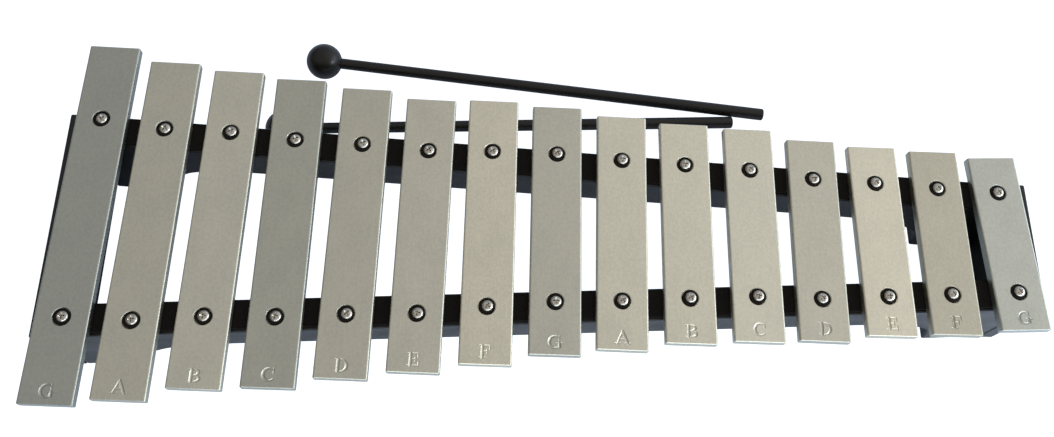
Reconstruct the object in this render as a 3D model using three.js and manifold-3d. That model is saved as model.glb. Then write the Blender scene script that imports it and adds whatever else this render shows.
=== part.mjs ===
// Diatonic metal-bar xylophone (two octaves, G5 to G7) with its two mallets.
// Millimetres. +X runs along the row from the low bars to the high bars, +Y is away from the player,
// +Z is up. The part stands on z = 0, and its origin is the bottom centre of its bounding box.
import * as THREE from 'three';
import { mergeVertices } from 'three/addons/utils/BufferGeometryUtils.js';
import Module from 'manifold-3d';

const wasm = await Module();
wasm.setup();

// ---------------------------------------------------------------- driving dimensions
// Bars: one flat section, tuned by length alone. A free bar's pitch goes with 1 / length squared, so a
// bar that sounds s semitones above the lowest one is 2 ** (-s / 24) times as long.
const BAR_WIDTH = 25;
const BAR_THICKNESS = 5;
const BAR_EDGE_RADIUS = 1.1;
const BAR_PITCH = 32.4;
const LOWEST_BAR_LENGTH = 182;
const SEMITONES_PER_HALVING = 24;
// The screws are set by eye, so each bar, with its two screws, sits a little off its even place in the row.
// Each entry is [note, semitones above the lowest, shift along the row, setback, turn in degrees about +Z].
const NOTES = [
  ['g5', 0, 0, 0.5, -1],
  ['a5', 2, -1, -2, -1],
  ['b5', 4, -1, -1, -1],
  ['c6', 5, -1, -2, -0.5],
  ['d6', 7, -0.5, -1.5, -1],
  ['e6', 9, 0, -2, -1],
  ['f6', 10, 0, 0.5, -0.5],
  ['g6', 12, 0, 2, -0.5],
  ['a6', 14, 0, 1.5, -1],
  ['b6', 16, 0, 2, -0.5],
  ['c7', 17, 0.5, 2, -0.5],
  ['d7', 19, 0, 0, -1],
  ['e7', 21, 0, 0.5, 0],
  ['f7', 22, -0.5, 0.5, 0],
  ['g7', 24, -0.5, 1, 2.5],
];

// Heights above the surface it stands on.
const RAIL_TOP = 55.5;
const FELT_THICKNESS = 2;
const BAR_BOTTOM = RAIL_TOP + FELT_THICKNESS;
const BAR_TOP = BAR_BOTTOM + BAR_THICKNESS;

// Frame: two rails that draw together towards the high bars, closed by a board at each end. The front rail
// slants a little more than the rear one. Each middle line is offset - taper * x from the middle of the row.
const RAILS = {
  rear: { side: 1, offset: 37.5, taper: 0.045 },
  front: { side: -1, offset: 37.2, taper: 0.056 },
};
const RAIL_WIDTH = 16;
const RAIL_HALF_LENGTH = 236;
const BOARD_THICKNESS = 8;
const BOARD_OVERLAP = 0.2;
const FOOT_FLAT_START = 204;
const FOOT_NECK = 193;
const FOOT_NECK_HEIGHT = 24;
const ARCH_START = 150;
const ARCH_HEIGHT = 33;
const FELT_WIDTH = 13.5;
const FELT_HALF_LENGTH = 234.5;

// Bar holes, and the pan-head wood screw through each of them. The two rows of holes draw together like
// the rails do.
const HOLE_MID_OFFSET = 38.4;
const HOLE_TAPER = 0.0536;
const HOLE_WIDE_RADIUS = 4.15;
const HOLE_WIDE_DEPTH = 2.6;
const HOLE_NARROW_RADIUS = 2.7;
const SCREW_HEAD_RADIUS = 2.75;
const SCREW_HEAD_EDGE = 0.7;
const SCREW_HEAD_HEIGHT = 2.1;
const SCREW_CROWN_SHARE = 0.72;
const SCREW_CROWN_DROP = 0.3;
const SCREW_HEAD_BASE = BAR_TOP - 0.5;
const SHANK_RADIUS = 1.5;
const SHANK_CLEARANCE = 0.3;
const PILOT_RADIUS = SHANK_RADIUS + SHANK_CLEARANCE;
const SCREW_TIP = RAIL_TOP - 15;

// Countersunk screw that fixes an end board to a rail.
const CORNER_SCREW_HEIGHT = 31;
const CORNER_HEAD_RADIUS = 3.5;
const CORNER_HEAD_DEPTH = 2.6;
const CORNER_SCREW_LENGTH = 30;
const CORNER_SCREW_RECESS = 0.1;

// Mallets: a ball head on a straight shaft that grows a little thicker towards its tail. Each lies with its
// ball and its tail on the ground.
const MALLET_HEAD_RADIUS = 10;
const MALLET_SHAFT_RADIUS = 3;
const MALLET_TAIL_RADIUS = 3.4;
const MALLET_REACH = 255;
const MALLET_TAIL_CHAMFER = 0.8;
const MALLET_SOCKET_DEPTH = 12;
const MALLET_SOCKET_CLEARANCE = 0.3;
const MALLETS = [
  { name: 'mallet_1', headX: -128.7, headY: 117.1, heading: -4.58 },
  { name: 'mallet_2', headX: -147.5, headY: 73.9, heading: 3.86 },
];

// Facets round each kind of turned surface.
const HOLE_SIDES = 12;
const SCREW_SIDES = 8;
const MALLET_SIDES = 16;
const BALL_SIDES = 20;

// ---------------------------------------------------------------- materials
const finish = (color, roughness, metalness) => new THREE.MeshStandardMaterial({ color, roughness, metalness });
const barAluminium = () => finish(0xa8a69c, 0.4, 1);
const screwSteel = () => finish(0xd5d7da, 0.25, 1);
const blackPaint = () => finish(0x0d0c0b, 0.45, 0);
const blackFelt = () => finish(0x070707, 0.95, 0);
const malletBlack = () => finish(0x151413, 0.4, 0);

// ---------------------------------------------------------------- solids
// Closed geometry to a manifold solid: only positions count, with shared corners merged.
function toSolid(geometry) {
  const bare = geometry.clone();
  bare.deleteAttribute('normal');
  bare.deleteAttribute('uv');
  const merged = mergeVertices(bare, 1e-4);
  const vertProperties = new Float32Array(merged.attributes.position.array);
  const triVerts = new Uint32Array(merged.index.array);
  return new wasm.Manifold(new wasm.Mesh({ numProp: 3, vertProperties, triVerts }));
}

function toGeometry(solid) {
  const mesh = solid.getMesh();
  const geometry = new THREE.BufferGeometry();
  geometry.setAttribute('position', new THREE.BufferAttribute(new Float32Array(mesh.vertProperties), 3));
  geometry.setIndex(new THREE.BufferAttribute(new Uint32Array(mesh.triVerts), 1));
  geometry.computeVertexNormals();
  return geometry;
}

function cut(blank, tools) {
  let solid = toSolid(blank);
  for (const tool of tools) {
    solid = solid.subtract(toSolid(tool));
  }
  return toGeometry(solid);
}

function named(name, geometry, material) {
  const mesh = new THREE.Mesh(geometry, material);
  mesh.name = name;
  return mesh;
}

// Upright turned solid: profile points are [radius, height], from the axis back to the axis.
function turned(profile, sides) {
  return new THREE.LatheGeometry(profile.map(([radius, height]) => new THREE.Vector2(radius, height)), sides);
}

// Upright cylinder between two heights, used as a drill.
function drill(radius, bottom, top, x, y, sides = HOLE_SIDES) {
  const geometry = new THREE.CylinderGeometry(radius, radius, top - bottom, sides);
  geometry.rotateX(Math.PI / 2);
  geometry.translate(x, y, (bottom + top) / 2);
  return geometry;
}

// ---------------------------------------------------------------- where things are
const middleBar = (NOTES.length - 1) / 2;
const evenX = (index) => (index - middleBar) * BAR_PITCH;
const barLength = (semitones) => LOWEST_BAR_LENGTH * 2 ** (-semitones / SEMITONES_PER_HALVING);
const railY = (x, { side, offset, taper }) => side * (offset - taper * x);
const holeOffset = (index) => HOLE_MID_OFFSET - HOLE_TAPER * evenX(index);
const SIDES = Object.entries(RAILS);
const ENDS = [['left', -1], ['right', 1]];
const twoDigits = (number) => String(number).padStart(2, '0');

// Where a bar's middle is, and how far the bar is turned, in radians.
function barPlace(index) {
  const [, , shift, setback, turn] = NOTES[index];
  return { x: evenX(index) + shift, y: setback, angle: THREE.MathUtils.degToRad(turn) };
}

function screwPlace(index, { side }) {
  const { x, y, angle } = barPlace(index);
  const reach = side * holeOffset(index);
  return [x - reach * Math.sin(angle), y + reach * Math.cos(angle)];
}

// Turns a shape drawn in x and height into a slab of a given depth in y, centred on y = 0.
function slab(shape, depth, curveSegments = 6) {
  const geometry = new THREE.ExtrudeGeometry(shape, { depth, bevelEnabled: false, curveSegments });
  geometry.rotateX(Math.PI / 2);
  geometry.translate(0, depth / 2, 0);
  return geometry;
}

// Slants a part that was drawn along +X so that it follows the line of one rail.
function slantToRail(geometry, rail) {
  const slope = -rail.side * rail.taper;
  geometry.applyMatrix4(new THREE.Matrix4().makeShear(slope, 0, 0, 0, 0, 0));
  geometry.translate(0, railY(0, rail), 0);
  return geometry;
}

// ---------------------------------------------------------------- bars
function barSection() {
  const half = BAR_WIDTH / 2;
  const r = BAR_EDGE_RADIUS;
  const shape = new THREE.Shape();
  shape.moveTo(-half + r, BAR_BOTTOM);
  shape.lineTo(half - r, BAR_BOTTOM);
  shape.absarc(half - r, BAR_BOTTOM + r, r, -Math.PI / 2, 0, false);
  shape.lineTo(half, BAR_TOP - r);
  shape.absarc(half - r, BAR_TOP - r, r, 0, Math.PI / 2, false);
  shape.lineTo(-half + r, BAR_TOP);
  shape.absarc(-half + r, BAR_TOP - r, r, Math.PI / 2, Math.PI, false);
  shape.lineTo(-half, BAR_BOTTOM + r);
  shape.absarc(-half + r, BAR_BOTTOM + r, r, Math.PI, 1.5 * Math.PI, false);
  return shape;
}

function makeBar(index) {
  const [note, semitones] = NOTES[index];
  const { x, y, angle } = barPlace(index);
  const blank = slab(barSection(), barLength(semitones), 2);
  const tools = SIDES.flatMap(([, rail]) => {
    const reach = rail.side * holeOffset(index);
    return [
      drill(HOLE_NARROW_RADIUS, BAR_BOTTOM - 1, BAR_TOP + 1, 0, reach),
      drill(HOLE_WIDE_RADIUS, BAR_TOP - HOLE_WIDE_DEPTH, BAR_TOP + 1, 0, reach),
    ];
  });
  const bar = named(`bar_${twoDigits(index + 1)}_${note}`, cut(blank, tools), barAluminium());
  bar.position.set(x, y, 0);
  bar.rotation.z = angle;
  return bar;
}

// Pan head with a plain shank, standing on its tip in the rail's pilot hole.
function makeBarScrew(index, sideName, rail) {
  const headTop = SCREW_HEAD_BASE + SCREW_HEAD_HEIGHT;
  const profile = [
    [0, SCREW_TIP],
    [SHANK_RADIUS, SCREW_TIP],
    [SHANK_RADIUS, SCREW_HEAD_BASE],
    [SCREW_HEAD_RADIUS, SCREW_HEAD_BASE],
    [SCREW_HEAD_RADIUS, SCREW_HEAD_BASE + SCREW_HEAD_EDGE],
    [SCREW_HEAD_RADIUS * SCREW_CROWN_SHARE, headTop - SCREW_CROWN_DROP],
    [0, headTop],
  ];
  const geometry = turned(profile, SCREW_SIDES);
  geometry.rotateX(Math.PI / 2);
  const screw = named(`screw_${sideName}_${twoDigits(index + 1)}`, geometry, screwSteel());
  screw.position.set(...screwPlace(index, rail), 0);
  return screw;
}

// ---------------------------------------------------------------- frame
// Side view of a rail: a deep end block at each foot, joined by a shallow beam over a long arch.
function railSideView() {
  const shape = new THREE.Shape();
  shape.moveTo(-RAIL_HALF_LENGTH, 0);
  shape.lineTo(-FOOT_FLAT_START, 0);
  shape.quadraticCurveTo(-FOOT_FLAT_START + 1, FOOT_NECK_HEIGHT * 0.8, -FOOT_NECK, FOOT_NECK_HEIGHT);
  shape.quadraticCurveTo(-FOOT_NECK + 9, ARCH_HEIGHT, -ARCH_START, ARCH_HEIGHT);
  shape.lineTo(ARCH_START, ARCH_HEIGHT);
  shape.quadraticCurveTo(FOOT_NECK - 9, ARCH_HEIGHT, FOOT_NECK, FOOT_NECK_HEIGHT);
  shape.quadraticCurveTo(FOOT_FLAT_START - 1, FOOT_NECK_HEIGHT * 0.8, FOOT_FLAT_START, 0);
  shape.lineTo(RAIL_HALF_LENGTH, 0);
  shape.lineTo(RAIL_HALF_LENGTH, RAIL_TOP);
  shape.lineTo(-RAIL_HALF_LENGTH, RAIL_TOP);
  return shape;
}

function lyingDrill(radius, fromX, toX, y, height) {
  const geometry = drill(radius, fromX, toX, 0, 0);
  geometry.rotateY(Math.PI / 2);
  geometry.translate(0, y, height);
  return geometry;
}

function makeRail(sideName, rail) {
  const blank = slantToRail(slab(railSideView(), RAIL_WIDTH), rail);
  const pilotHoles = NOTES.map((note, index) => (
    drill(PILOT_RADIUS, SCREW_TIP, RAIL_TOP + 1, ...screwPlace(index, rail), SCREW_SIDES)
  ));
  const boreDepth = CORNER_SCREW_LENGTH + CORNER_SCREW_RECESS - BOARD_THICKNESS;
  const endHoles = ENDS.map(([, end]) => {
    const outer = end * (RAIL_HALF_LENGTH + 1);
    const inner = end * (RAIL_HALF_LENGTH - boreDepth);
    const y = railY(end * RAIL_HALF_LENGTH, rail);
    return lyingDrill(PILOT_RADIUS, Math.min(inner, outer), Math.max(inner, outer), y, CORNER_SCREW_HEIGHT);
  });
  return named(`${sideName}_rail`, cut(blank, [...pilotHoles, ...endHoles]), blackPaint());
}

function makeFelt(sideName, rail) {
  const shape = new THREE.Shape();
  shape.moveTo(-FELT_HALF_LENGTH, RAIL_TOP);
  shape.lineTo(FELT_HALF_LENGTH, RAIL_TOP);
  shape.lineTo(FELT_HALF_LENGTH, BAR_BOTTOM);
  shape.lineTo(-FELT_HALF_LENGTH, BAR_BOTTOM);
  const blank = slantToRail(slab(shape, FELT_WIDTH), rail);
  const holes = NOTES.map((note, index) => (
    drill(PILOT_RADIUS, RAIL_TOP - 1, BAR_BOTTOM + 1, ...screwPlace(index, rail), SCREW_SIDES)
  ));
  return named(`${sideName}_felt_strip`, cut(blank, holes), blackFelt());
}

// Turned profile of a countersunk screw that points up +Z from its flat face at height 0.
function countersunk(extraRadius, length) {
  return [
    [0, 0],
    [CORNER_HEAD_RADIUS + extraRadius, 0],
    [SHANK_RADIUS + extraRadius, CORNER_HEAD_DEPTH],
    [SHANK_RADIUS + extraRadius, length],
    [0, length],
  ];
}

// A lathed shape with its axis laid along X, pointing inwards from the outer face of an end board.
function layInwards(profile, end, faceX, y) {
  const geometry = turned(profile, SCREW_SIDES);
  geometry.rotateZ(end * Math.PI / 2);
  geometry.translate(end * faceX, y, CORNER_SCREW_HEIGHT);
  return geometry;
}

function makeEndBoard(endName, end) {
  const innerFace = end * RAIL_HALF_LENGTH;
  const rearEdge = railY(innerFace, RAILS.rear) + RAIL_WIDTH / 2 + BOARD_OVERLAP;
  const frontEdge = railY(innerFace, RAILS.front) - RAIL_WIDTH / 2 - BOARD_OVERLAP;
  const blank = new THREE.BoxGeometry(BOARD_THICKNESS, rearEdge - frontEdge, RAIL_TOP);
  blank.translate(innerFace + end * BOARD_THICKNESS / 2, (rearEdge + frontEdge) / 2, RAIL_TOP / 2);
  const outerFace = RAIL_HALF_LENGTH + BOARD_THICKNESS;
  const holes = SIDES.map(([, rail]) => (
    layInwards(countersunk(SHANK_CLEARANCE, BOARD_THICKNESS + 1), end, outerFace, railY(innerFace, rail))
  ));
  return named(`${endName}_end_board`, cut(blank, holes), blackPaint());
}

function makeCornerScrew(endName, end, sideName, rail) {
  const y = railY(end * RAIL_HALF_LENGTH, rail);
  const face = RAIL_HALF_LENGTH + BOARD_THICKNESS - CORNER_SCREW_RECESS;
  const geometry = layInwards(countersunk(0, CORNER_SCREW_LENGTH), end, face, y);
  return named(`corner_screw_${endName}_${sideName}`, geometry, screwSteel());
}

// ---------------------------------------------------------------- mallets
// Drawn along +X with the centre of the ball at the origin, then tipped until the tail is on the ground.
function makeMallet({ name, headX, headY, heading }) {
  const socketRadius = MALLET_SHAFT_RADIUS + MALLET_SOCKET_CLEARANCE;
  const socketBottom = MALLET_HEAD_RADIUS - MALLET_SOCKET_DEPTH;
  const ball = new THREE.SphereGeometry(MALLET_HEAD_RADIUS, BALL_SIDES, BALL_SIDES / 2);
  const socket = lyingDrill(socketRadius, socketBottom, MALLET_HEAD_RADIUS + 1, 0, 0);
  const head = named(`${name}_head`, cut(ball, [socket]), malletBlack());

  const shaftStart = socketBottom + MALLET_SOCKET_CLEARANCE;
  const profile = [
    [0, shaftStart],
    [MALLET_SHAFT_RADIUS, shaftStart],
    [MALLET_SHAFT_RADIUS, MALLET_HEAD_RADIUS],
    [MALLET_TAIL_RADIUS, MALLET_REACH - MALLET_TAIL_CHAMFER],
    [MALLET_TAIL_RADIUS - MALLET_TAIL_CHAMFER, MALLET_REACH],
    [0, MALLET_REACH],
  ];
  const shaftGeometry = turned(profile, MALLET_SIDES);
  shaftGeometry.rotateZ(-Math.PI / 2);
  const shaft = named(`${name}_shaft`, shaftGeometry, malletBlack());

  const mallet = new THREE.Group();
  mallet.add(head, shaft);
  const tip = Math.asin((MALLET_HEAD_RADIUS - MALLET_TAIL_RADIUS) / MALLET_REACH);
  mallet.rotation.set(0, tip, THREE.MathUtils.degToRad(heading), 'ZYX');
  mallet.position.set(headX, headY, MALLET_HEAD_RADIUS);
  return mallet;
}

// ---------------------------------------------------------------- assembly
const xylophone = new THREE.Group();

for (const [sideName, rail] of SIDES) {
  xylophone.add(makeRail(sideName, rail), makeFelt(sideName, rail));
}

for (const [endName, end] of ENDS) {
  xylophone.add(makeEndBoard(endName, end));
  for (const [sideName, rail] of SIDES) {
    xylophone.add(makeCornerScrew(endName, end, sideName, rail));
  }
}

for (let index = 0; index < NOTES.length; index += 1) {
  xylophone.add(makeBar(index));
  for (const [sideName, rail] of SIDES) {
    xylophone.add(makeBarScrew(index, sideName, rail));
  }
}

for (const mallet of MALLETS) {
  xylophone.add(makeMallet(mallet));
}

// Bring the origin to the bottom centre of the whole part.
xylophone.updateMatrixWorld(true);
const box = new THREE.Box3().setFromObject(xylophone, true);
xylophone.position.x = -(box.min.x + box.max.x) / 2;
xylophone.position.y = -(box.min.y + box.max.y) / 2;
xylophone.position.z = -box.min.z;

export default xylophone;
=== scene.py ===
import math
import random

import bmesh
import bpy
from mathutils import Matrix, Vector


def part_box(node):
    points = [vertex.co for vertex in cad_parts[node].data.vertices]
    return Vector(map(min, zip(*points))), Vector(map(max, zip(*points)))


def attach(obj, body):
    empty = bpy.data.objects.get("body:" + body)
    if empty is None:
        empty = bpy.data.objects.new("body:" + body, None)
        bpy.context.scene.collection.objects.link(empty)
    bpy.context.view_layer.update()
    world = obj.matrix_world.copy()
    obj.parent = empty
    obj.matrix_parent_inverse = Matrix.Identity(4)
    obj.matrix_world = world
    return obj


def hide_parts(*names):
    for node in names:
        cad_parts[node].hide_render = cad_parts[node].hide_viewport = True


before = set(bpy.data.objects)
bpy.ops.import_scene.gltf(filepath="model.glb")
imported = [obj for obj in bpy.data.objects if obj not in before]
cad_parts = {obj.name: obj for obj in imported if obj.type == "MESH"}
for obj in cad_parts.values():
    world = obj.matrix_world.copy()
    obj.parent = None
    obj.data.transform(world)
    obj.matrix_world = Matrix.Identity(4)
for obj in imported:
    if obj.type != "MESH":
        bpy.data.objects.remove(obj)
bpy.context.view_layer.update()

# A two-octave metal-bar xylophone: the bars, screws, grommets, wooden frame, felt and mallets are all made
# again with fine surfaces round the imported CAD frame. Lengths are metres, written as millimetres times MM.
MM = 0.001

# ---------------------------------------------------------------- driving sizes
BAR_WIDTH = 25 * MM
EDGE_RADIUS = 1.0 * MM
EDGE_STEPS = 6
END_CHAMFER = 0.3 * MM

HOLE_WIDE = 4.15 * MM
HOLE_NARROW = 2.7 * MM
HOLE_STEP = 2.6 * MM
HOLE_RIM_CHAMFER = 0.35 * MM

LETTER_HEIGHT = 5.7 * MM
LETTER_BREADTH = 1.24
LETTER_RIM_SLOPE = 1.0
LETTER_BED_SLOPE = 0.5
LETTER_BED_SHARE = 0.62
LETTER_FROM_END = 3.3 * MM
LETTER_FLOOR_SHARE = 0.1
THICK = 0.3
THIN = 0.15

GROMMET_RADIUS = 3.85 * MM
GROMMET_NECK = 2.4 * MM
GROMMET_BORE = 2.0 * MM
GROMMET_TOP = -0.45 * MM
GROMMET_UNDER = -1.85 * MM
GROMMET_SOFTENING = 0.3 * MM
GROMMET_FOOT_GAP = 0.02 * MM

HEAD_RADIUS = 2.7 * MM
HEAD_BASE = -0.5 * MM
HEAD_TOP = 1.45 * MM
HEAD_EDGE = 0.5 * MM
HEAD_CROWN = 0.8
HEAD_SOFTENING = 0.12 * MM
CROWN_STEPS = 12
SCREW_POINT = 2.5 * MM
SHANK_RADIUS = 1.5 * MM
RECESS_ARM = 1.75 * MM
RECESS_WIDTH = 0.55 * MM
RECESS_DEPTH = 1.25 * MM
SCREW_DRIFT = Vector((0.2, 0.12, 0)) * MM
SCREW_WANDER = 0.2 * MM
SCREW_TILT = math.radians(2.5)

RAIL_WIDTH = 16 * MM
FOOT_FLAT_START = 204 * MM
FOOT_NECK = 193 * MM
FOOT_NECK_HEIGHT = 24 * MM
ARCH_START = 150 * MM
FOOT_CURVE_SHARE = 0.8
NECK_LEAD = 9 * MM
ARCH_HEIGHT = 33 * MM
WOOD_BEVEL = 0.9 * MM
PILOT_RADIUS = 2.0 * MM
PILOT_DEPTH = 15 * MM
CORNER_HEAD_RADIUS = 3.5 * MM
CORNER_HEAD_DEPTH = 2.6 * MM
CORNER_SCREW_LENGTH = 30 * MM
CORNER_CLEARANCE = 0.3 * MM
BOARD_BORE_DEPTH = 20 * MM

FELT_WIDTH = 13.5 * MM
FELT_STEP = 1.6 * MM
FELT_RAGGED = 0.12 * MM
FELT_WIDTH_STEPS = 8
FELT_BORE_HEIGHT = 4 * MM

BALL_RADIUS = 10 * MM
BALL_SEAM = 0.09 * MM
SOCKET_RADIUS = 3.3 * MM
SOCKET_DEPTH = 12 * MM
SHAFT_RADIUS = 3 * MM
TAIL_RADIUS = 3.4 * MM
SHAFT_START = -1.7 * MM
SHAFT_CHAMFER = 0.8 * MM

# Facets round each kind of turned surface.
HOLE_SIDES = 48
SCREW_SIDES = 40
PILOT_SIDES = 20
BOARD_BORE_SIDES = 32
BALL_SIDES = 96
BALL_STEPS = 40
SHAFT_SIDES = 40
SHAFT_STEPS = 24

# Each bar's tone, from the lowest note up: how bright it is beside the others, and how warm. The bluer warmth
# of -0.05 on the first and last bars is a painted bluish sheen, a reflection painted into their colour.
BAR_TONE = 0.585
BAR_GREEN_SHARE = 0.95
BAR_BLUE_SHARE = 0.78
BAR_TONES_AND_PAINTED_SHEEN = (
    (0.79, -0.05), (1.03, 0.0), (1.14, 0.0), (0.9, -0.02), (1.04, 0.0),
    (1.11, 0.0), (1.25, 0.02), (1.0, -0.01), (1.2, 0.01), (1.2, 0.01),
    (1.2, 0.0), (1.0, 0.0), (1.2, 0.02), (0.9, 0.02), (0.92, -0.05),
)

rng = random.Random(15)


# ---------------------------------------------------------------- mesh helpers
def mesh_object(name, bm, matrix=None):
    """A new object from a bmesh, with its faces turned outwards."""
    bmesh.ops.recalc_face_normals(bm, faces=bm.faces)
    mesh = bpy.data.meshes.new(name)
    bm.to_mesh(mesh)
    bm.free()
    piece = bpy.data.objects.new(name, mesh)
    bpy.context.scene.collection.objects.link(piece)
    if matrix is not None:
        piece.matrix_world = matrix
    return piece


def loft(name, loops):
    """A closed skin through loops of equal length, with a flat cap at each end."""
    bm = bmesh.new()
    rings = [[bm.verts.new(point) for point in loop] for loop in loops]
    count = len(rings[0])
    for lower, upper in zip(rings, rings[1:]):
        for i in range(count):
            j = (i + 1) % count
            bm.faces.new((lower[i], lower[j], upper[j], upper[i]))
    bm.faces.new(rings[0])
    bm.faces.new(rings[-1])
    return mesh_object(name, bm)


def lathe(name, profile, sides, matrix=None, ring=False):
    """A turned solid about Z. profile is (radius, height) from axis to axis, or a closed ring section."""
    bm = bmesh.new()
    columns = []
    for radius, height in profile:
        if radius < 1e-9:
            columns.append([bm.verts.new((0, 0, height))])
            continue
        angles = [math.tau * i / sides for i in range(sides)]
        column = [bm.verts.new((radius * math.cos(a), radius * math.sin(a), height)) for a in angles]
        columns.append(column)
    pairs = list(zip(columns, columns[1:]))
    if ring:
        pairs.append((columns[-1], columns[0]))
    for lower, upper in pairs:
        for i in range(sides):
            j = (i + 1) % sides
            below = [lower[i % len(lower)], lower[j % len(lower)]]
            above = [upper[j % len(upper)], upper[i % len(upper)]]
            bm.faces.new(list(dict.fromkeys(below + above)))
    return mesh_object(name, bm, matrix)


def applied(piece):
    """Bakes the piece's modifiers into its mesh."""
    graph = bpy.context.evaluated_depsgraph_get()
    mesh = bpy.data.meshes.new_from_object(piece.evaluated_get(graph))
    piece.modifiers.clear()
    old = piece.data
    piece.data = mesh
    mesh.name = piece.name
    bpy.data.meshes.remove(old)
    return piece


def carve(piece, tools):
    """Cuts the tool solids out of the piece and deletes them."""
    for tool in tools:
        cut = piece.modifiers.new("cut", "BOOLEAN")
        cut.operation = "DIFFERENCE"
        cut.solver = "MANIFOLD"
        cut.object = tool
    applied(piece)
    for tool in tools:
        bpy.data.meshes.remove(tool.data)
    return piece


def bevelled(piece, width, segments=3, angle=35):
    bevel = piece.modifiers.new("bevel", "BEVEL")
    bevel.width = width
    bevel.segments = segments
    bevel.limit_method = "ANGLE"
    bevel.angle_limit = math.radians(angle)
    return applied(piece)


def shaded(piece, angle=32):
    """Smooth shading that stays crisp at real edges and flat on flat faces."""
    piece.data.shade_smooth()
    piece.data.set_sharp_from_angle(angle=math.radians(angle))
    normals = piece.modifiers.new("normals", "WEIGHTED_NORMAL")
    normals.keep_sharp = True
    return piece


def settled(piece):
    """Moves the piece's place into its mesh, so that its box is a close one."""
    piece.data.transform(piece.matrix_world)
    piece.matrix_world = Matrix.Identity(4)
    return piece


def put(piece, body, slot, material, *nodes):
    """Gives the piece its material, its body and the CAD nodes it stands for. The slot is not used."""
    piece.data.materials.clear()
    piece.data.materials.append(material)
    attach(piece, body)
    if nodes:
        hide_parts(*nodes)


def quadratic(start, control, end, steps=12):
    """Points along a quadratic curve, without the first one."""
    points = []
    for i in range(1, steps + 1):
        t = i / steps
        trios = zip(start, control, end)
        points.append([(1 - t) ** 2 * a + 2 * t * (1 - t) * b + t * t * c for a, b, c in trios])
    return points


# ---------------------------------------------------------------- materials
class Shader:
    """A principled material with short calls for the textures that drive it."""

    def __init__(self, name, **values):
        self.material = bpy.data.materials.new(name)
        self.material.use_nodes = True
        self.nodes = self.material.node_tree.nodes
        self.links = self.material.node_tree.links
        self.surface = self.nodes["Principled BSDF"]
        for socket, value in values.items():
            self.surface.inputs[socket.replace("_", " ")].default_value = value
        self.place = self.nodes.new("ShaderNodeTexCoord").outputs["Object"]

    def noise(self, stretch, detail=4.0, rough=0.55, distortion=0.0):
        """Noise with stretch cycles per metre along X, Y and Z."""
        mapping = self.nodes.new("ShaderNodeMapping")
        mapping.inputs["Scale"].default_value = stretch
        texture = self.nodes.new("ShaderNodeTexNoise")
        texture.inputs["Scale"].default_value = 1.0
        texture.inputs["Detail"].default_value = detail
        texture.inputs["Roughness"].default_value = rough
        texture.inputs["Distortion"].default_value = distortion
        self.links.new(self.place, mapping.inputs["Vector"])
        self.links.new(mapping.outputs["Vector"], texture.inputs["Vector"])
        return texture.outputs["Fac"]

    def spread(self, value, low, high, start=0.3, stop=0.7):
        """Maps a texture value onto a range."""
        node = self.nodes.new("ShaderNodeMapRange")
        for socket, number in (("From Min", start), ("From Max", stop), ("To Min", low), ("To Max", high)):
            node.inputs[socket].default_value = number
        self.links.new(value, node.inputs["Value"])
        return node.outputs["Result"]

    def math(self, operation, first, second):
        node = self.nodes.new("ShaderNodeMath")
        node.operation = operation
        for socket, value in zip(node.inputs, (first, second)):
            if isinstance(value, (int, float)):
                socket.default_value = value
            else:
                self.links.new(value, socket)
        return node.outputs["Value"]

    def colour(self, value, *stops):
        """A colour ramp of (position, (r, g, b)) stops driven by value, as the base colour."""
        ramp = self.nodes.new("ShaderNodeValToRGB")
        ramp.color_ramp.elements[0].position = stops[0][0]
        ramp.color_ramp.elements[0].color = (*stops[0][1], 1)
        ramp.color_ramp.elements[1].position = stops[-1][0]
        ramp.color_ramp.elements[1].color = (*stops[-1][1], 1)
        for position, rgb in stops[1:-1]:
            ramp.color_ramp.elements.new(position).color = (*rgb, 1)
        self.links.new(value, ramp.inputs["Fac"])
        self.links.new(ramp.outputs["Color"], self.surface.inputs["Base Color"])

    def roughness(self, value):
        self.links.new(value, self.surface.inputs["Roughness"])

    def bump(self, value, distance, strength=1.0):
        node = self.nodes.new("ShaderNodeBump")
        node.inputs["Distance"].default_value = distance
        node.inputs["Strength"].default_value = strength
        self.links.new(value, node.inputs["Height"])
        self.links.new(node.outputs["Normal"], self.surface.inputs["Normal"])


def bar_aluminium(name, tone, warmth_and_painted_sheen):
    """Satin aluminium: a sandy blasted face, lightly brushed along the bar (Y), with faint handling marks."""
    shader = Shader(name, Metallic=1.0, Roughness=0.36)
    brushing = shader.noise((2200, 60, 900), detail=4, rough=0.65)
    grain = shader.noise((750, 600, 750), detail=4, rough=0.75)
    blotches = shader.noise((75, 55, 75), detail=3)
    # A warmth below zero makes the colour bluer; on the first and last bars this is a painted bluish sheen.
    base = (tone * (1 + warmth_and_painted_sheen), tone * BAR_GREEN_SHARE, tone * (BAR_BLUE_SHARE - warmth_and_painted_sheen))
    fine = shader.math("ADD", shader.math("MULTIPLY", brushing, 0.2), shader.math("MULTIPLY", grain, 0.6))
    mix = shader.math("ADD", fine, shader.math("MULTIPLY", blotches, 0.2))
    greyer = (base[0] * 0.93, base[1] * 0.935, base[2] * 0.95)
    warmer = (base[0] * 1.07, base[1] * 1.06, base[2] * 1.04)
    shader.colour(mix, (0.42, greyer), (0.5, base), (0.58, warmer))
    wear = shader.math("ADD", shader.spread(brushing, 0.0, 0.06), shader.spread(blotches, 0.32, 0.38))
    shader.roughness(wear)
    relief = shader.math("ADD", shader.math("MULTIPLY", brushing, 0.35), shader.math("MULTIPLY", grain, 0.65))
    shader.bump(relief, 0.035 * MM, 0.5)
    return shader.material


def screw_steel():
    """Zinc-plated steel, dulled and a little scuffed."""
    shader = Shader("screw_steel", Metallic=1.0, Roughness=0.24)
    scuffs = shader.noise((1200, 1200, 1200), detail=5, rough=0.65)
    shader.colour(scuffs, (0.35, (0.33, 0.30, 0.25)), (0.6, (0.68, 0.63, 0.55)))
    shader.roughness(shader.spread(scuffs, 0.16, 0.34))
    shader.bump(scuffs, 0.03 * MM, 0.4)
    return shader.material


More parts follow.
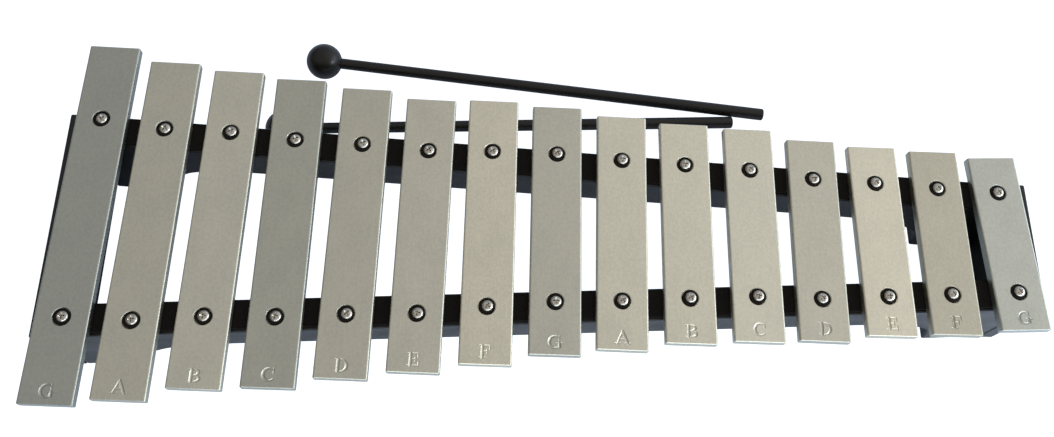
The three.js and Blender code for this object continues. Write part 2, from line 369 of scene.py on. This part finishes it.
def painted_wood(name, grain):
    """Satin black paint that still shows the wood's grain, rubbed thin here and there."""
    shader = Shader(name, Roughness=0.36, Specular_IOR_Level=0.4)
    streaks = shader.noise(grain, detail=6, rough=0.6, distortion=0.6)
    patches = shader.noise((60, 60, 60), detail=3)
    dark, plain, rubbed = (0.005, 0.0038, 0.003), (0.009, 0.0068, 0.0052), (0.016, 0.012, 0.009)
    shader.colour(streaks, (0.3, dark), (0.6, plain), (0.8, rubbed))
    wear = shader.math("ADD", shader.spread(streaks, 0.0, 0.08), shader.spread(patches, 0.28, 0.40))
    shader.roughness(wear)
    shader.bump(streaks, 0.12 * MM, 0.35)
    return shader.material


def black_felt():
    """Pressed wool felt: matt, with short tangled fibres."""
    sheen = {"Sheen_Weight": 0.03, "Sheen_Roughness": 0.6}
    shader = Shader("black_felt", Roughness=0.96, Specular_IOR_Level=0.1, **sheen)
    fibres = shader.noise((2600, 2600, 2600), detail=6, rough=0.75, distortion=1.5)
    clumps = shader.noise((380, 380, 380), detail=3)
    shader.colour(fibres, (0.3, (0.005, 0.0038, 0.003)), (0.7, (0.014, 0.0105, 0.008)))
    height = shader.math("ADD", shader.math("MULTIPLY", fibres, 0.6), shader.math("MULTIPLY", clumps, 0.4))
    shader.bump(height, 0.35 * MM, 0.8)
    return shader.material


def black_rubber():
    """Moulded rubber with a dusty bloom."""
    shader = Shader("black_rubber", Roughness=0.6, Specular_IOR_Level=0.12)
    bloom = shader.noise((900, 900, 900), detail=5, rough=0.65)
    shader.colour(bloom, (0.35, (0.006, 0.0048, 0.0038)), (0.7, (0.016, 0.0125, 0.0095)))
    shader.roughness(shader.spread(bloom, 0.45, 0.7))
    shader.bump(bloom, 0.05 * MM, 0.5)
    return shader.material


def mallet_black(name, low_roughness, high_roughness, grain):
    """Satin black plastic with slight moulding ripple and rubbing from the hand."""
    shader = Shader(name, Roughness=low_roughness, Specular_IOR_Level=0.35)
    ripple = shader.noise(grain, detail=4, rough=0.6)
    specks = shader.noise((1500, 1500, 1500), detail=4, rough=0.7)
    shader.colour(ripple, (0.3, (0.008, 0.0065, 0.0052)), (0.7, (0.016, 0.013, 0.0105)))
    shader.roughness(shader.spread(ripple, low_roughness, high_roughness))
    height = shader.math("ADD", shader.math("MULTIPLY", ripple, 0.7), shader.math("MULTIPLY", specks, 0.3))
    shader.bump(height, 0.06 * MM, 0.35)
    return shader.material


# ---------------------------------------------------------------- what the CAD frame says
bar_nodes = sorted(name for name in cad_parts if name.startswith("bar_"))
SIDES = ("rear", "front")
ENDS = ("left", "right")
bar_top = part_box(bar_nodes[0])[1].z
floor_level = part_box("left_end_board")[0].z


def middle(node):
    low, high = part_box(node)
    return (Vector(low) + Vector(high)) / 2


def screw_place(side, number):
    return middle(f"screw_{side}_{number:02d}")


def rail_line(side):
    """The y of a rail's middle at any x. The two rails draw together towards +X."""
    low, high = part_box(f"{side}_rail")
    drop = high[1] - low[1] - RAIL_WIDTH
    slope = drop / (high[0] - low[0]) * (-1 if side == "rear" else 1)
    centre = middle(f"{side}_rail")
    return lambda x: centre.y + slope * (x - centre.x)


def set_down(point):
    return Matrix.Translation(point)


# ---------------------------------------------------------------- stamped letters
# A glyph is a list of strokes, and a stroke is a list of (x, y, width) in units of the letter's height.
def bar_stroke(x0, y0, x1, y1, width):
    return [(x0, y0, width), (x1, y1, width)]


def bowl(cx, cy, rx, ry, start, stop, heavy, light, steps=16):
    """An arc that is heavy in its middle and light at its ends. Angles are degrees."""
    stroke = []
    for i in range(steps + 1):
        t = i / steps
        angle = math.radians(start + (stop - start) * t)
        width = light + (heavy - light) * math.sin(math.pi * t) ** 1.5
        stroke.append((cx + rx * math.cos(angle), cy + ry * math.sin(angle), width))
    return stroke


def stem():
    return bar_stroke(-0.2, 0, -0.2, 1, THICK)


def glyph_strokes(letter):
    top, foot = bar_stroke(-0.36, 1, -0.04, 1, THIN), bar_stroke(-0.36, 0, -0.04, 0, THIN)
    if letter == "a":
        return [
            bar_stroke(-0.02, 1, -0.36, 0, THIN * 1.3),
            bar_stroke(-0.02, 1, 0.34, 0, THICK),
            bar_stroke(-0.26, 0.34, 0.22, 0.34, THIN),
            bar_stroke(-0.5, 0, -0.22, 0, THIN),
            bar_stroke(0.18, 0, 0.5, 0, THIN),
        ]
    if letter == "b":
        upper = bowl(-0.06, 0.76, 0.30, 0.24, 90, -90, THICK, THIN)
        lower = bowl(-0.06, 0.26, 0.37, 0.26, 90, -90, THICK, THIN)
        return [stem(), top, foot, bar_stroke(-0.2, 0.52, -0.06, 0.52, THIN), upper, lower]
    if letter == "c":
        return [bowl(0.03, 0.5, 0.38, 0.5, 48, 312, THICK, THIN), bar_stroke(0.32, 1, 0.32, 0.68, THIN)]
    if letter == "d":
        return [stem(), top, foot, bowl(-0.08, 0.5, 0.45, 0.5, 90, -90, THICK, THIN)]
    if letter == "g":
        return [
            bowl(0.0, 0.5, 0.38, 0.5, 48, 312, THICK, THIN),
            bar_stroke(0.29, 1, 0.29, 0.68, THIN),
            bar_stroke(0.29, 0.1, 0.29, 0.42, THICK),
            bar_stroke(0.12, 0.42, 0.46, 0.42, THIN),
        ]
    arms = [
        stem(),
        bar_stroke(-0.36, 1, 0.3, 1, THIN),
        bar_stroke(0.3, 1, 0.3, 0.74, THIN),
        bar_stroke(-0.2, 0.52, 0.13, 0.52, THIN),
        bar_stroke(0.13, 0.66, 0.13, 0.38, THIN),
    ]
    if letter == "f":
        return arms + [foot]
    return arms + [bar_stroke(-0.36, 0, 0.32, 0, THIN), bar_stroke(0.32, 0, 0.34, 0.28, THIN)]


def stroke_tool(stroke, centre_x, foot_y):
    """A cutter along one stroke, as a letter punch is: steep at the rim and nearly round at the bed."""
    loops = []
    for i, (x, y, width) in enumerate(stroke):
        before, after = stroke[max(i - 1, 0)], stroke[min(i + 1, len(stroke) - 1)]
        along = Vector(((after[0] - before[0]) * LETTER_BREADTH, after[1] - before[1])).normalized()
        across = Vector((-along.y, along.x, 0))
        end = THIN / 2 * ((i == len(stroke) - 1) - (i == 0))
        x, y = x * LETTER_BREADTH + along.x * end, y + along.y * end
        point = Vector((centre_x + x * LETTER_HEIGHT, foot_y + y * LETTER_HEIGHT, bar_top))
        half = width * LETTER_HEIGHT / 2
        bed_half, floor_half = half * LETTER_BED_SHARE, half * LETTER_FLOOR_SHARE
        rim_depth = (half - bed_half) * LETTER_RIM_SLOPE
        depth = rim_depth + (bed_half - floor_half) * LETTER_BED_SLOPE
        section = (
            (2 * half - bed_half, rim_depth),
            (bed_half - 2 * half, rim_depth),
            (-bed_half, -rim_depth),
            (-floor_half, -depth),
            (floor_half, -depth),
            (bed_half, -rim_depth),
        )
        loops.append([point + across * side + Vector((0, 0, rise)) for side, rise in section])
    return loft("stroke", loops)


# ---------------------------------------------------------------- bars
def rounded_section(half_width, low, high, radius, steps):
    """Points round a rectangle in x and z with rounded corners."""
    corners = (
        (half_width - radius, low + radius, -90),
        (half_width - radius, high - radius, 0),
        (-half_width + radius, high - radius, 90),
        (-half_width + radius, low + radius, 180),
    )
    points = []
    for x, z, start in corners:
        for i in range(steps + 1):
            angle = math.radians(start + 90 * i / steps)
            points.append((x + radius * math.cos(angle), z + radius * math.sin(angle)))
    return points


def make_bar(node):
    """A bar made about its own middle, then laid in place and turned so that its holes meet its screws."""
    number = int(node.split("_")[1])
    rear, front = screw_place("rear", number), screw_place("front", number)
    along = rear - front
    reach = math.hypot(along.x, along.y) / 2
    turn = math.atan2(-along.x, along.y)
    low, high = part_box(node)
    half_length = ((high[1] - low[1]) - BAR_WIDTH * math.sin(abs(turn))) / math.cos(turn) / 2
    section = rounded_section(BAR_WIDTH / 2, low[2], high[2], EDGE_RADIUS, EDGE_STEPS)
    inner = rounded_section(BAR_WIDTH / 2 - END_CHAMFER, low[2] + END_CHAMFER, high[2] - END_CHAMFER,
                            EDGE_RADIUS - END_CHAMFER, EDGE_STEPS)
    stations = (
        (inner, -half_length),
        (section, END_CHAMFER - half_length),
        (section, half_length - END_CHAMFER),
        (inner, half_length),
    )
    bar = loft(f"{node}_body", [[(x, y, z) for x, z in shape] for shape, y in stations])
    profile = [
        (0, low[2] - MM),
        (HOLE_NARROW, low[2] - MM),
        (HOLE_NARROW, bar_top - HOLE_STEP),
        (HOLE_WIDE, bar_top - HOLE_STEP),
        (HOLE_WIDE, bar_top - HOLE_RIM_CHAMFER),
        (HOLE_WIDE + 2 * HOLE_RIM_CHAMFER, bar_top + HOLE_RIM_CHAMFER),
        (0, bar_top + HOLE_RIM_CHAMFER),
    ]
    tools = [lathe("drill", profile, HOLE_SIDES, set_down((0, y, 0))) for y in (reach, -reach)]
    letter = node.split("_")[2][0]
    tools += [stroke_tool(stroke, 0, LETTER_FROM_END - half_length) for stroke in glyph_strokes(letter)]
    carve(bar, tools)
    centre = (rear + front) / 2
    bar.matrix_world = set_down((centre.x, centre.y, 0)) @ Matrix.Rotation(turn, 4, "Z")
    # The second value is the bar's warmth, which holds a painted bluish sheen on the first and last bars.
    shade, warmth_and_painted_sheen = BAR_TONES_AND_PAINTED_SHEEN[number - 1]
    metal = bar_aluminium(f"{node}_metal", BAR_TONE * shade, warmth_and_painted_sheen)
    put(shaded(settled(bar)), f"bar_{number:02d}", "bar_aluminium", metal, node)


# ---------------------------------------------------------------- screws and grommets
def cross_tools(depth_from):
    """Two tapered blades that cut a cross recess down from a height."""
    tools = []
    for turn in (0, math.pi / 2):
        loops = []
        for height, arm, width in (
            (depth_from + RECESS_DEPTH, RECESS_ARM * 1.15, RECESS_WIDTH * 1.15),
            (depth_from, RECESS_ARM, RECESS_WIDTH),
            (depth_from - RECESS_DEPTH, RECESS_ARM * 0.3, RECESS_WIDTH * 0.6),
        ):
            corners = ((arm, width / 2), (-arm, width / 2), (-arm, -width / 2), (arm, -width / 2))
            loops.append([Matrix.Rotation(turn, 3, "Z") @ Vector((x, y, height)) for x, y in corners])
        tools.append(loft("blade", loops))
    return tools


def pan_head_mesh(tip):
    """A pan-head screw about Z, with height 0 at the bar's face and its tip at a height below."""
    profile = [
        (0, tip),
        (0.55 * SHANK_RADIUS, tip),
        (SHANK_RADIUS, tip + SCREW_POINT),
        (SHANK_RADIUS, HEAD_BASE),
        (HEAD_RADIUS - HEAD_SOFTENING, HEAD_BASE),
        (HEAD_RADIUS, HEAD_BASE + HEAD_SOFTENING),
    ]
    edge = HEAD_BASE + HEAD_EDGE
    for i in range(CROWN_STEPS):
        angle = math.pi / 2 * i / CROWN_STEPS
        height = edge + (HEAD_TOP - edge) * math.sin(angle)
        profile.append((HEAD_RADIUS * math.cos(angle) ** HEAD_CROWN, height))
    profile.append((0, HEAD_TOP))
    screw = lathe("pan_head", profile, SCREW_SIDES)
    return shaded(carve(screw, cross_tools(HEAD_TOP)))


def countersunk_mesh():
    """A countersunk screw about Z, with its flat head at height 0 and pointing down."""
    profile = [
        (0, -CORNER_SCREW_LENGTH),
        (0.4 * SHANK_RADIUS, -CORNER_SCREW_LENGTH),
        (SHANK_RADIUS, -CORNER_SCREW_LENGTH + 4 * MM),
        (SHANK_RADIUS, -CORNER_HEAD_DEPTH),
        (CORNER_HEAD_RADIUS, -0.2 * MM),
        (CORNER_HEAD_RADIUS - 0.15 * MM, 0),
        (0, 0),
    ]
    screw = lathe("countersunk", profile, SCREW_SIDES)
    return shaded(carve(screw, cross_tools(0)))


def copy_of(pattern, name, matrix):
    piece = pattern.copy()
    piece.name = name
    bpy.context.scene.collection.objects.link(piece)
    piece.matrix_world = matrix
    return piece


def make_screws_and_grommets(steel, rubber):
    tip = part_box("screw_front_01")[0][2] - bar_top
    screw = pan_head_mesh(tip)
    neck_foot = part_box(bar_nodes[0])[0].z - bar_top + GROMMET_FOOT_GAP
    soft = GROMMET_SOFTENING
    section = [
        (GROMMET_BORE, GROMMET_TOP - soft),
        (GROMMET_BORE + soft, GROMMET_TOP),
        (GROMMET_RADIUS - 2 * soft, GROMMET_TOP),
        (GROMMET_RADIUS - soft * 0.6, GROMMET_TOP - soft * 0.4),
        (GROMMET_RADIUS, GROMMET_TOP - 1.3 * soft),
        (GROMMET_RADIUS, GROMMET_UNDER + soft),
        (GROMMET_RADIUS - soft, GROMMET_UNDER),
        (GROMMET_NECK, GROMMET_UNDER),
        (GROMMET_NECK, neck_foot),
        (GROMMET_BORE, neck_foot),
    ]
    grommet = shaded(lathe("grommet", section, HOLE_SIDES, ring=True), 50)
    for side in SIDES:
        for number in range(1, len(bar_nodes) + 1):
            place = screw_place(side, number)
            point = Vector((place.x, place.y, bar_top))
            drift = SCREW_DRIFT + Vector((rng.uniform(-1, 1), rng.uniform(-1, 1), 0)) * SCREW_WANDER
            tilt = Matrix.Rotation(rng.uniform(-1, 1) * SCREW_TILT, 4, "X")
            turn = Matrix.Rotation(rng.uniform(0, math.pi / 2), 4, "Z")
            name = f"{side}_{number:02d}"
            piece = copy_of(screw, f"pan_screw_{name}", set_down(point + drift) @ tilt @ turn)
            put(piece, "frame", "screw_steel", steel, f"screw_{name}")
            ring = copy_of(grommet, f"grommet_{name}", set_down(point))
            put(ring, "frame", "grommet_rubber", rubber)
    bpy.data.objects.remove(screw)
    bpy.data.objects.remove(grommet)


# ---------------------------------------------------------------- wooden frame
def rail_outline(half_length, top):
    """The rail's side view, from the left foot along the arch to the right foot and back over the top."""
    left = [(-half_length, floor_level), (-FOOT_FLAT_START, floor_level)]
    neck = (-FOOT_NECK, FOOT_NECK_HEIGHT)
    left += quadratic(left[-1], (-FOOT_FLAT_START + MM, FOOT_NECK_HEIGHT * FOOT_CURVE_SHARE), neck)
    left += quadratic(neck, (-FOOT_NECK + NECK_LEAD, ARCH_HEIGHT), (-ARCH_START, ARCH_HEIGHT))
    right = [(-x, z) for x, z in reversed(left)]
    return left + right + [(half_length, top), (-half_length, top)]


def end_screw_place(end, side):
    node = f"corner_screw_{end}_{side}"
    low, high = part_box(node)
    outward = -1 if end == "left" else 1
    face = low[0] if outward < 0 else high[0]
    lie = Matrix.Rotation(outward * math.pi / 2, 4, "Y")
    return set_down((face, middle(node).y, middle(node).z)) @ lie


def end_bore(radius_extra, length):
    """A countersunk bore about Z, opening a little above height 0."""
    head = CORNER_HEAD_RADIUS + radius_extra
    shank = SHANK_RADIUS + radius_extra
    return [(0, -length), (shank, -length), (shank, -CORNER_HEAD_DEPTH), (head, 0), (head, MM), (0, MM)]


def make_rail(side, paint):
    node = f"{side}_rail"
    low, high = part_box(node)
    middle_of = rail_line(side)
    outline = rail_outline(high[0], high[2])
    faces = (-RAIL_WIDTH / 2, RAIL_WIDTH / 2)
    loops = [[(x, middle_of(x) + edge, z) for x, z in outline] for edge in faces]
    rail = bevelled(loft(f"{node}_wood", loops), WOOD_BEVEL)
    tools = []
    pilot = [(0, -PILOT_DEPTH), (PILOT_RADIUS, -PILOT_DEPTH), (PILOT_RADIUS, MM), (0, MM)]
    for number in range(1, len(bar_nodes) + 1):
        place = screw_place(side, number)
        tools.append(lathe("pilot", pilot, PILOT_SIDES, set_down((place.x, place.y, high[2]))))
    for end in ENDS:
        bore = [(0, -CORNER_SCREW_LENGTH), (PILOT_RADIUS, -CORNER_SCREW_LENGTH), (PILOT_RADIUS, 0), (0, 0)]
        tools.append(lathe("pilot", bore, PILOT_SIDES, end_screw_place(end, side)))
    put(shaded(carve(rail, tools)), "frame", "frame_paint", paint, node)


def make_end_board(end, paint):
    node = f"{end}_end_board"
    low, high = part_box(node)
    outline = [(low[0], low[2]), (high[0], low[2]), (high[0], high[2]), (low[0], high[2])]
    loops = [[(x, y, z) for x, z in outline] for y in (low[1], high[1])]
    board = bevelled(loft(f"{node}_wood", loops), WOOD_BEVEL, 4)
    bore = end_bore(CORNER_CLEARANCE, BOARD_BORE_DEPTH)
    tools = [lathe("bore", bore, BOARD_BORE_SIDES, end_screw_place(end, side)) for side in SIDES]
    put(shaded(carve(board, tools)), "frame", "frame_paint", paint, node)


def make_corner_screws(steel):
    pattern = countersunk_mesh()
    for end in ENDS:
        for side in SIDES:
            matrix = end_screw_place(end, side) @ Matrix.Rotation(rng.uniform(0, math.pi / 2), 4, "Z")
            piece = copy_of(pattern, f"board_screw_{end}_{side}", matrix)
            put(piece, "frame", "screw_steel", steel, f"corner_screw_{end}_{side}")
    bpy.data.objects.remove(pattern)


# ---------------------------------------------------------------- felt
def make_felt(side, cloth):
    """A pressed strip whose cut edges and upper face are slightly ragged."""
    node = f"{side}_felt_strip"
    low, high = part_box(node)
    middle_of = rail_line(side)
    count = round((high[0] - low[0]) / FELT_STEP)
    loops = []
    for i in range(count + 1):
        x = low[0] + (high[0] - low[0]) * i / count
        loop = []
        for height, order in ((low[2], 1), (high[2], -1)):
            for k in range(FELT_WIDTH_STEPS + 1)[::order]:
                across = -0.5 + k / FELT_WIDTH_STEPS
                edge = abs(across) > 0.49
                ragged = FELT_RAGGED * rng.random()
                y = middle_of(x) + across * FELT_WIDTH - math.copysign(ragged if edge else 0, across)
                sink = ragged if height > low[2] and not edge else 0
                drop = 2.5 * FELT_RAGGED if edge and height > low[2] else 0
                loop.append((x, y, height - sink - drop))
        loops.append(loop)
    strip = loft(f"{node}_cloth", loops)
    bore = [(0, -MM), (PILOT_RADIUS, -MM), (PILOT_RADIUS, FELT_BORE_HEIGHT), (0, FELT_BORE_HEIGHT)]
    tools = []
    for number in range(1, len(bar_nodes) + 1):
        place = screw_place(side, number)
        tools.append(lathe("bore", bore, PILOT_SIDES, set_down((place.x, place.y, low[2]))))
    strip = shaded(carve(strip, tools), 60)
    put(strip, "frame", "felt", cloth, node)


# ---------------------------------------------------------------- mallets
def end_centre(points, direction):
    """The middle of the flat end that a rod turns towards a direction."""
    limit = max(p.dot(direction) for p in points)
    ring = [p for p in points if limit - p.dot(direction) < 0.1 * MM]
    return Vector([(min(p[k] for p in ring) + max(p[k] for p in ring)) / 2 for k in range(3)])


def shaft_axis(node):
    """The middle of the CAD shaft's two ends, from the ball's side to the tail."""
    points = [vertex.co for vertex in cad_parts[node].data.vertices]
    along = Vector((1, 0, 0))
    for _ in range(3):
        start, tail = end_centre(points, -along), end_centre(points, along)
        along = (tail - start).normalized()
    return start, tail


def make_mallet(name, ball_black, shaft_black):
    start, tail = shaft_axis(f"{name}_shaft")
    along = (tail - start).normalized()
    place = set_down(start - along * SHAFT_START) @ along.to_track_quat("Z", "Y").to_matrix().to_4x4()
    length = (tail - start).length + SHAFT_START

    opening = math.asin(SOCKET_RADIUS / BALL_RADIUS)
    socket_floor = BALL_RADIUS - SOCKET_DEPTH
    profile = []
    for i in range(BALL_STEPS + 1):
        angle = math.pi - (math.pi - opening) * i / BALL_STEPS
        profile.append((BALL_RADIUS * math.sin(angle), BALL_RADIUS * math.cos(angle)))
    profile[0] = (0, -BALL_RADIUS)
    profile.append((SOCKET_RADIUS, socket_floor))
    profile.append((0, socket_floor))
    ball = lathe(f"{name}_ball", profile, BALL_SIDES, place)
    for vertex in ball.data.vertices:
        on_seam = abs(vertex.co.y) < 1e-6 and abs(vertex.co.length - BALL_RADIUS) < 1e-6
        if on_seam:
            vertex.co *= 1 - BALL_SEAM / BALL_RADIUS
    put(shaded(settled(ball), 50), name, "mallet_head", ball_black, f"{name}_head")

    profile = [(0, SHAFT_START), (SHAFT_RADIUS, SHAFT_START)]
    for i in range(SHAFT_STEPS + 1):
        share = i / SHAFT_STEPS
        height = BALL_RADIUS + (length - SHAFT_CHAMFER - BALL_RADIUS) * share
        profile.append((SHAFT_RADIUS + (TAIL_RADIUS - SHAFT_RADIUS) * share, height))
    for i in range(1, 5):
        angle = math.pi / 8 * i
        inset = SHAFT_CHAMFER * (1 - math.cos(angle))
        profile.append((TAIL_RADIUS - inset, length - SHAFT_CHAMFER * (1 - math.sin(angle))))
    profile.append((0, length))
    rod = lathe(f"{name}_rod", profile, SHAFT_SIDES, place)
    put(shaded(settled(rod), 40), name, "mallet_shaft", shaft_black, f"{name}_shaft")


# ---------------------------------------------------------------- studio
CAMERA_OFFSET = Vector((-37.8, -168.1, 455.9)) * MM
CAMERA_ELEVATION = math.radians(69.07)
CAMERA_YAW = math.radians(7.81)
CAMERA_ROLL = math.radians(9.09)
CAMERA_LENS = 34.12
SENSOR_WIDTH = 36.0
HORIZON_LEFT = (0.13, 0.13, 0.12)
HORIZON_RIGHT = (0.66, 0.80, 1.0)
OVERHEAD = (0.52, 0.525, 0.53)


def make_camera():
    """Placed from the middle of the row's upper face, looking down and turned a little round its own axis."""
    first, last = middle(bar_nodes[0]), middle(bar_nodes[-1])
    reference = Vector(((first.x + last.x) / 2, first.y, bar_top))
    flat = math.cos(CAMERA_ELEVATION)
    ahead = Vector((math.sin(CAMERA_YAW) * flat, math.cos(CAMERA_YAW) * flat, -math.sin(CAMERA_ELEVATION)))
    level = Vector((math.cos(CAMERA_YAW), -math.sin(CAMERA_YAW), 0))
    raised = level.cross(ahead)
    right = math.cos(CAMERA_ROLL) * level + math.sin(CAMERA_ROLL) * raised
    up = math.cos(CAMERA_ROLL) * raised - math.sin(CAMERA_ROLL) * level
    data = bpy.data.cameras.new("camera")
    data.lens = CAMERA_LENS
    data.sensor_width = SENSOR_WIDTH
    data.clip_start = 0.01
    camera = bpy.data.objects.new("camera", data)
    turn = Matrix((right, up, -ahead)).transposed().to_4x4()
    camera.matrix_world = Matrix.Translation(reference + CAMERA_OFFSET) @ turn
    bpy.context.scene.collection.objects.link(camera)
    bpy.context.scene.camera = camera


def area_light(name, place, size, radiance, colour):
    """A soft panel that faces the object. radiance is what the panel's face gives."""
    data = bpy.data.lights.new(name, "AREA")
    data.shape = "RECTANGLE"
    data.size, data.size_y = size
    data.energy = radiance * math.pi * size[0] * size[1]
    data.color = colour
    lamp = bpy.data.objects.new(name, data)
    lamp.location = place
    lamp.rotation_euler = (-Vector(place)).to_track_quat("-Z", "Y").to_euler()
    bpy.context.scene.collection.objects.link(lamp)


def floor_plane(name, level, half, glow, paint):
    bm = bmesh.new()
    corners = ((-half, -half), (half, -half), (half, half), (-half, half))
    bm.faces.new([bm.verts.new((x, y, level)) for x, y in corners])
    plane = mesh_object(name, bm)
    shader = Shader(name, Roughness=0.9, Specular_IOR_Level=0.0)
    shader.surface.inputs["Base Color"].default_value = (*paint, 1)
    shader.surface.inputs["Emission Color"].default_value = (*glow, 1)
    shader.surface.inputs["Emission Strength"].default_value = 1.0
    plane.data.materials.append(shader.material)
    return plane


def make_sky():
    """Soft light from all round: cool near the horizon, brightest on the right, and neutral overhead."""
    world = bpy.data.worlds.new("studio")
    world.use_nodes = True
    nodes, links = world.node_tree.nodes, world.node_tree.links
    split = nodes.new("ShaderNodeSeparateXYZ")
    links.new(nodes.new("ShaderNodeTexCoord").outputs["Generated"], split.inputs["Vector"])
    across, upward = nodes.new("ShaderNodeValToRGB"), nodes.new("ShaderNodeMapRange")
    across.color_ramp.elements[0].color = (*HORIZON_LEFT, 1)
    across.color_ramp.elements[1].color = (*HORIZON_RIGHT, 1)
    turn = nodes.new("ShaderNodeMapRange")
    turn.inputs["From Min"].default_value = -0.8
    turn.inputs["From Max"].default_value = 0.6
    upward.inputs["From Min"].default_value = 0.25
    upward.inputs["From Max"].default_value = 0.75
    mix = nodes.new("ShaderNodeMix")
    mix.data_type = "RGBA"
    mix.inputs[7].default_value = (*OVERHEAD, 1)
    links.new(split.outputs["X"], turn.inputs["Value"])
    links.new(turn.outputs["Result"], across.inputs["Fac"])
    links.new(split.outputs["Z"], upward.inputs["Value"])
    links.new(upward.outputs["Result"], mix.inputs[0])
    links.new(across.outputs["Color"], mix.inputs[6])
    links.new(mix.outputs[2], nodes["Background"].inputs["Color"])
    bpy.context.scene.world = world


def make_studio():
    """A white table that the camera sees almost without shadow, and a plain one that only bounces light."""
    seen = floor_plane("floor_seen", floor_level - 0.3 * MM, 15.0, (0.88, 0.88, 0.88), (0.5, 0.5, 0.5))
    seen.visible_diffuse = False
    seen.visible_glossy = False
    bounce = floor_plane("floor_bounce", floor_level - 0.2 * MM, 3.0, (0.02, 0.024, 0.03), (0.80, 0.88, 1.0))
    bounce.visible_camera = False
    bounce.visible_shadow = False
    make_sky()
    area_light("window_right", (1.5, 0.1, 0.5), (1.6, 0.7), 2.2, (0.80, 0.90, 1.0))
    area_light("lamp_right", (1.1, -0.33, 0.56), (0.35, 0.35), 9.0, (0.92, 0.96, 1.0))
    area_light("window_front", (0.3, -1.0, 0.45), (1.6, 0.5), 2.4, (0.80, 0.90, 1.0))
    area_light("ceiling_right", (0.85, 0.6, 1.5), (1.6, 1.4), 0.28, (1.0, 0.96, 0.90))
    bpy.context.scene.view_settings.view_transform = "Standard"


# ---------------------------------------------------------------- assembly
make_camera()
make_studio()

steel = screw_steel()
rubber = black_rubber()
cloth = black_felt()
rail_paint = painted_wood("rail_paint", (25, 900, 900))
board_paint = painted_wood("board_paint", (900, 30, 900))
ball_black = mallet_black("ball_black", 0.26, 0.36, (60, 60, 60))
shaft_black = mallet_black("shaft_black", 0.30, 0.44, (25, 500, 500))

for node in bar_nodes:
    make_bar(node)
make_screws_and_grommets(steel, rubber)
for side in SIDES:
    make_rail(side, rail_paint)
    make_felt(side, cloth)
for end in ENDS:
    make_end_board(end, board_paint)
make_corner_screws(steel)
for name in ("mallet_1", "mallet_2"):
    make_mallet(name, ball_black, shaft_black)
